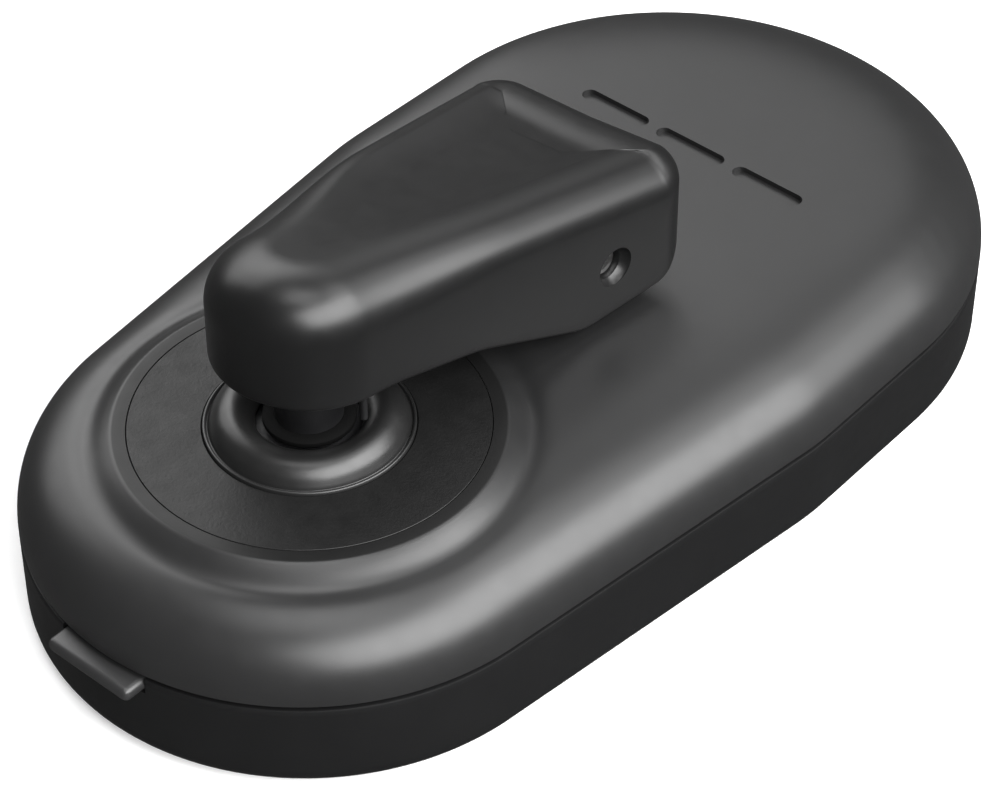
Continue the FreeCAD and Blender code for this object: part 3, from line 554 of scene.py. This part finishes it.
def paddle_spans():
    """The outline's points in order: the span they lie on, their angle and their place on it."""
    flat, right, left = math.pi / 2, -PADDLE_FLARE, math.pi + PADDLE_FLARE
    spans = (("near", -flat, right, 48), ("right", right, right, 90), ("corner", right, flat, 28),
             ("far", flat, flat, 48), ("other", flat, left, 28), ("left", left, left, 90),
             ("near", left, left + flat - PADDLE_FLARE, 48))
    kinds, angles, shares = [], [], []
    for kind, start, end, count in spans:
        share = np.linspace(0, 1, count, endpoint=False)
        kinds += [kind] * count
        angles += list(start + (end - start) * share)
        shares += list(share)
    return np.array(kinds), np.array(angles), np.array(shares)


KINDS, TURNS, SHARES = paddle_spans()


def paddle_ring(inset):
    """The paddle's plan outline moved inwards, by one inset or by one for each point."""
    inset = np.broadcast_to(np.asarray(inset, float), TURNS.shape)
    radius = PADDLE_RADIUS - inset
    corner = np.maximum(PADDLE_CORNER - inset, 0.05)
    centre_y = PADDLE_LENGTH - inset - corner
    centre_x = (radius - corner + centre_y * math.sin(PADDLE_FLARE)) / math.cos(PADDLE_FLARE)
    direction = np.column_stack([np.cos(TURNS), np.sin(TURNS)])
    near = direction * radius[:, None]
    first = np.column_stack([centre_x, centre_y]) + direction * corner[:, None]
    second = np.column_stack([-centre_x, centre_y]) + direction * corner[:, None]
    share = SHARES[:, None]
    points = near.copy()
    for kind, value in (("right", near + (first - near) * share), ("corner", first),
                        ("far", first + (second - first) * share), ("other", second),
                        ("left", second + (near - second) * share)):
        points[KINDS == kind] = value[KINDS == kind]
    return points, direction


def paddle_top(x, y):
    """The top plane, canted up to the right, with its left rim a little raised."""
    left_rim = LEFT_RISE * np.clip(-x, 0, 20) * ease(y / 12.0)
    return PADDLE_TOP + PADDLE_CANT * x - PADDLE_FALL * y + left_rim


def paddle_under(y):
    """The underside's height: high over the boot, then down close to the cover."""
    ys = np.array([-12.0, 1.5, 8.0, 16.2, 23.0, 27.0])
    zs = np.array([6.4, 5.2, 3.75, 0.36, 0.50, 4.6])
    spread = np.linspace(-0.7, 0.7, 9)
    return np.mean([np.interp(y + step, ys, zs) for step in spread], axis=0)


def ease(share):
    """From 0 to 1 with a level start and end."""
    share = np.clip(share, 0, 1)
    return share * share * (3 - 2 * share)


def paddle_rounds(outline, normals):
    """How wide and how deep the top's rounding is, by the way the side faces and where it is."""
    x, y = outline[:, 0], outline[:, 1]
    right = np.clip(normals[:, 0], 0, 1) ** 1.5
    left = np.clip(-normals[:, 0], 0, 1) ** 1.5
    near = np.clip(-normals[:, 1], 0, 1) ** 1.5
    far = np.clip(normals[:, 1], 0, 1) ** 1.5
    total = right + left + near + far
    dome = ease(1 - y / 11.0)
    across = np.clip((x + 7.8) / 15.6, 0, 1)
    wide = (3.5 + 0.7 * dome) * right + (1.5 + 2.3 * dome) * left + 4.4 * near \
        + (1.3 + 0.4 * across) * far
    deep = (2.7 + 0.8 * dome) * right + (1.2 + 2.3 * dome) * left + 4.0 * near \
        + (1.2 + 0.3 * across) * far
    return wide / total, deep / total


def make_paddle():
    rings = []
    outline, normals = paddle_ring(0.0)
    wide, deep = paddle_rounds(outline, normals)

    def ring(points, z):
        return np.column_stack([points[:, 0], points[:, 1] + HUB_Y, z + DISK_TOP])

    # underside, from the middle out, and its small rounding
    edge = 0.35
    for inset in (5.2, 4.0, 2.6, 1.2, edge):
        points = paddle_ring(inset)[0]
        rings.append(ring(points, paddle_under(points[:, 1])))
    for k in range(1, 6):
        angle = math.pi / 2 * k / 5
        points = paddle_ring(edge * (1 - math.sin(angle)))[0]
        rings.append(ring(points, paddle_under(points[:, 1]) + edge * (1 - math.cos(angle))))
    bottom = paddle_under(outline[:, 1]) + edge
    shoulder = paddle_top(outline[:, 0], outline[:, 1]) - deep
    for share in np.linspace(0, 1, 12)[1:]:
        rings.append(ring(outline, bottom + (shoulder - bottom) * share))
    # rounding of the top edge
    steps = 16
    for k in range(1, steps + 1):
        angle = math.pi / 2 * k / steps
        points = paddle_ring(wide * (1 - math.cos(angle)))[0]
        top = paddle_top(points[:, 0], points[:, 1])
        rings.append(ring(points, top - deep * (1 - math.sin(angle))))
    # the top with its thumb scoop
    deepest = PADDLE_RADIUS - 0.12
    for share in np.linspace(0, 1, 26)[1:]:
        inset = wide + (deepest - wide) * share
        points = paddle_ring(inset)[0]
        ramp = 2.6 + 1.4 * np.clip((points[:, 0] + 7.0) / 13.0, 0, 1)
        scoop = SCOOP * ease((inset - wide) / 2.6) ** 0.5 * ease((points[:, 1] + 1.0) / 16.0)
        scoop = scoop * ease((PADDLE_LENGTH - 1.2 - points[:, 1]) / ramp)
        rings.append(ring(points, paddle_top(points[:, 0], points[:, 1]) - scoop))
    verts, faces = loft(rings)
    count = len(outline)
    # close both ends across the middle, from side to side
    for start in (0, len(verts) - count):
        end = start + count - 1
        faces += [(start + i, start + i + 1, end - i - 1, end - i) for i in range(count // 2 - 1)]
    paddle = raw_object(verts, faces, name="paddle_cap")
    cut(paddle, paddle_cutters())
    return finish_piece(paddle, PADDLE, "rocker", ("paddle",),
                        sharp=math.radians(38))


def along_x(profile, steps=48):
    """A closed solid round the set screw's axis from (radius, x)."""
    angles = np.linspace(0, 2 * math.pi, steps, endpoint=False)
    rings = [np.column_stack([np.full(steps, x), HUB_Y + SET_Y + r * np.cos(angles),
                              DISK_TOP + SET_Z + r * np.sin(angles)]) for r, x in profile]
    return capped(rings)


def paddle_cutters():
    """The slot for the lever, open below, and the set screw's hole with its bevelled mouth."""
    half = 2.55
    side = [(-2.95, -3), (21.05, -3), (21.05, 5.65), (3, 9.65), (-2.95, 9.65)]
    slot = raw_object(*capped([[(x, HUB_Y + y, DISK_TOP + z) for y, z in side]
                               for x in (-half, half)]))
    wall = 7.38
    hole = raw_object(*along_x([(0.97, 2.0), (0.97, wall - 0.45), (1.32, wall - 0.02),
                                (1.36, wall + 1.5)]))
    return [slot, hole]


def make_set_screw():
    """A socket set screw: a chamfered rim and a six-sided socket."""
    outer, inner = 6.55, 2.56
    body = raw_object(*along_x([(0.80, inner), (0.93, inner + 0.15), (0.93, outer - 0.12),
                                (0.82, outer)]), name="set_screw_steel")
    corners = [(0.58 * math.cos(math.pi / 3 * k + 0.3), 0.58 * math.sin(math.pi / 3 * k + 0.3))
               for k in range(6)]
    socket = raw_object(*capped([[(x, HUB_Y + SET_Y + y, DISK_TOP + SET_Z + z) for y, z in corners]
                                 for x in (outer - 1.2, outer + 0.5)]))
    cut(body, [socket])
    finish_piece(body, STEEL, "rocker", ("paddle_set_screw",), sharp=math.radians(25))


# ---------------------------------------------------------------- end button
def make_button():
    lo, hi = low("function_button"), high("function_button")
    mid = (lo[0] + hi[0]) / 2
    half, front, back = 3.25, lo[1], -32.65
    z0, z1, r = 5.42, 6.35, 0.42
    work = bmesh.new()
    corners = [(x, y, z) for x in (mid - half, mid + half) for y in (front, back)
               for z in (z0, z1)]
    verts = [work.verts.new(Vector(c) * MM) for c in corners]
    for quad in ((0, 1, 3, 2), (4, 6, 7, 5), (0, 4, 5, 1), (2, 3, 7, 6), (0, 2, 6, 4),
                 (1, 5, 7, 3)):
        work.faces.new([verts[i] for i in quad])
    outer = [e for e in work.edges if min(v.co.y for v in e.verts) < (front + 0.01) * MM]
    bmesh.ops.bevel(work, geom=outer, offset=r * MM, segments=6, profile=0.5, affect="EDGES")
    mesh = bpy.data.meshes.new("button_bar")
    work.to_mesh(mesh)
    work.free()
    finish_piece(linked("button_bar", mesh), BUTTON, "function_button",
                 ("function_button",), sharp=math.radians(50))


# ---------------------------------------------------------------- underside
def make_door():
    r, z0 = 12.0, 0.10
    profile = [(r - 0.9, 0.80), (r, 0.80), (r, z0 + 0.25), (r - 0.25, z0)]
    profile += [(9.6, z0), (9.45, z0 + 0.22), (9.15, z0 + 0.22), (9.0, z0), (0.02, z0)]
    profile = [(0.02, 0.80)] + profile
    door = raw_object(*turned_solid(profile, (0, CELL_Y), 160), name="door_disc")
    coin_slot = slot_outline(6.0, 1.0, 0.0, CELL_Y, 12)
    cut(door, [raw_object(*prism(coin_slot, -1, z0 + 0.5))])
    finish_piece(door, SHELL, "battery_door", ("battery_door",),
                 sharp=math.radians(30))


def make_screws():
    """Pan-head screws with a round, tapered drive recess, all four in one piece."""
    profile = [(0.02, 0.85), (0.45, 0.85), (0.62, 0.35), (0.66, 0.25), (1.45, 0.25),
               (1.68, 0.38), (1.75, 0.6), (1.75, 1.5), (0.95, 1.5), (0.95, 4.0), (0.02, 4.0)]
    verts, faces = joined(turned_solid(profile, place, 48) for place in screw_places())
    as_object("screws_steel", verts, faces, STEEL, "housing", ("housing_screws",))


def make_inserts():
    """Two threaded inserts, the thread as plain rings."""
    bore, root, pitch, mouth, top = 1.27, 1.42, 0.5, 0.28, 4.5
    profile = [(INSERT_RADIUS, 0.0), (1.55, 0.0), (bore, mouth)]
    for turns in range(8):
        z = mouth + pitch * turns
        profile += [(bore, z + 0.05), (root, z + 0.25), (bore, z + 0.45)]
    profile += [(bore, top), (INSERT_RADIUS, top)]
    verts, faces = joined(loft(turn(profile, (x, MOUNT_Y), 64), closed_rings=True)
                          for x in (-MOUNT_X, MOUNT_X))
    as_object("inserts_brass", verts, faces, BRASS, "housing", ("mount_inserts",),
              sharp=math.radians(30))


make_cover()
make_shell()
make_gasket()
make_hub()
make_stem()
make_paddle()
make_set_screw()
make_button()
make_door()
make_screws()
make_inserts()


# ---------------------------------------------------------------- camera
AZIMUTH, ELEVATION = math.radians(41.2), math.radians(42.0)
DISTANCE, ASIDE, ABOVE, LENS = 0.19192, 0.01101, 0.0013, 119.4
BACK = Vector((math.sin(AZIMUTH) * math.cos(ELEVATION), -math.cos(AZIMUTH) * math.cos(ELEVATION),
               math.sin(ELEVATION)))
RIGHT = Vector((math.cos(AZIMUTH), math.sin(AZIMUTH), 0))
UP = BACK.cross(RIGHT)
camera_data = bpy.data.cameras.new("camera")
camera = linked("camera", camera_data)
camera_data.sensor_width = 36.0
camera_data.lens = LENS
camera_data.clip_start = 0.005
hub = Vector((0, HUB_Y, DISK_TOP)) * MM
stand = hub + BACK * DISTANCE + RIGHT * ASIDE + UP * ABOVE
camera.matrix_world = Matrix.Translation(stand) @ \
    Matrix((RIGHT, UP, BACK)).transposed().to_4x4()
bpy.context.scene.camera = camera


# ---------------------------------------------------------------- floor and light
LIGHT_DISTANCE = 0.6


def make_floor():
    """A white floor, a hair below the base so that the two don't share a plane. It glows a
    little and is left out of reflections, which keeps the pod's walls dark."""
    mesh = bpy.data.meshes.new("floor")
    half, below = 3.0, -0.02 * MM
    mesh.from_pydata([(-half, -half, below), (half, -half, below), (half, half, below),
                      (-half, half, below)], [], [(0, 1, 2, 3)])
    floor = linked("floor", mesh)
    paint = bpy.data.materials.new("floor_white")
    paint.use_nodes = True
    shader = paint.node_tree.nodes["Principled BSDF"]
    shader.inputs["Base Color"].default_value = (0.86, 0.86, 0.86, 1)
    shader.inputs["Roughness"].default_value = 0.9
    shader.inputs["Specular IOR Level"].default_value = 0.1
    shader.inputs["Emission Color"].default_value = (1, 1, 1, 1)
    shader.inputs["Emission Strength"].default_value = 0.2
    mesh.materials.append(paint)
    floor.visible_glossy = False


def softbox(name, azimuth, elevation, size, watts):
    """An area light that looks at the pod's middle. Azimuth 0 stands at -Y, 90 at +X."""
    az, el = math.radians(azimuth), math.radians(elevation)
    direction = Vector((math.sin(az) * math.cos(el), -math.cos(az) * math.cos(el), math.sin(el)))
    data = bpy.data.lights.new(name, "AREA")
    data.shape = "RECTANGLE"
    data.size, data.size_y = size
    data.energy = watts
    lamp = linked(name, data)
    lamp.matrix_world = Matrix.Translation(direction * LIGHT_DISTANCE) @ \
        direction.to_track_quat("Z", "Y").to_matrix().to_4x4()


make_floor()
softbox("key_right", 90, 38, (0.96, 0.46), 13.5)
softbox("back_left", 228, 46, (0.60, 0.30), 0.75)
softbox("left", 256, 34, (0.54, 0.42), 1.9)
softbox("overhead", 30, 82, (0.30, 0.30), 1.2)
softbox("back_right", 146, 55, (0.34, 0.26), 1.0)
world = bpy.data.worlds.new("studio")
world.use_nodes = True
world.node_tree.nodes["Background"].inputs["Color"].default_value = (1, 1, 1, 1)
world.node_tree.nodes["Background"].inputs["Strength"].default_value = 0.09
bpy.context.scene.world = world
bpy.context.scene.view_settings.view_transform = "Standard"
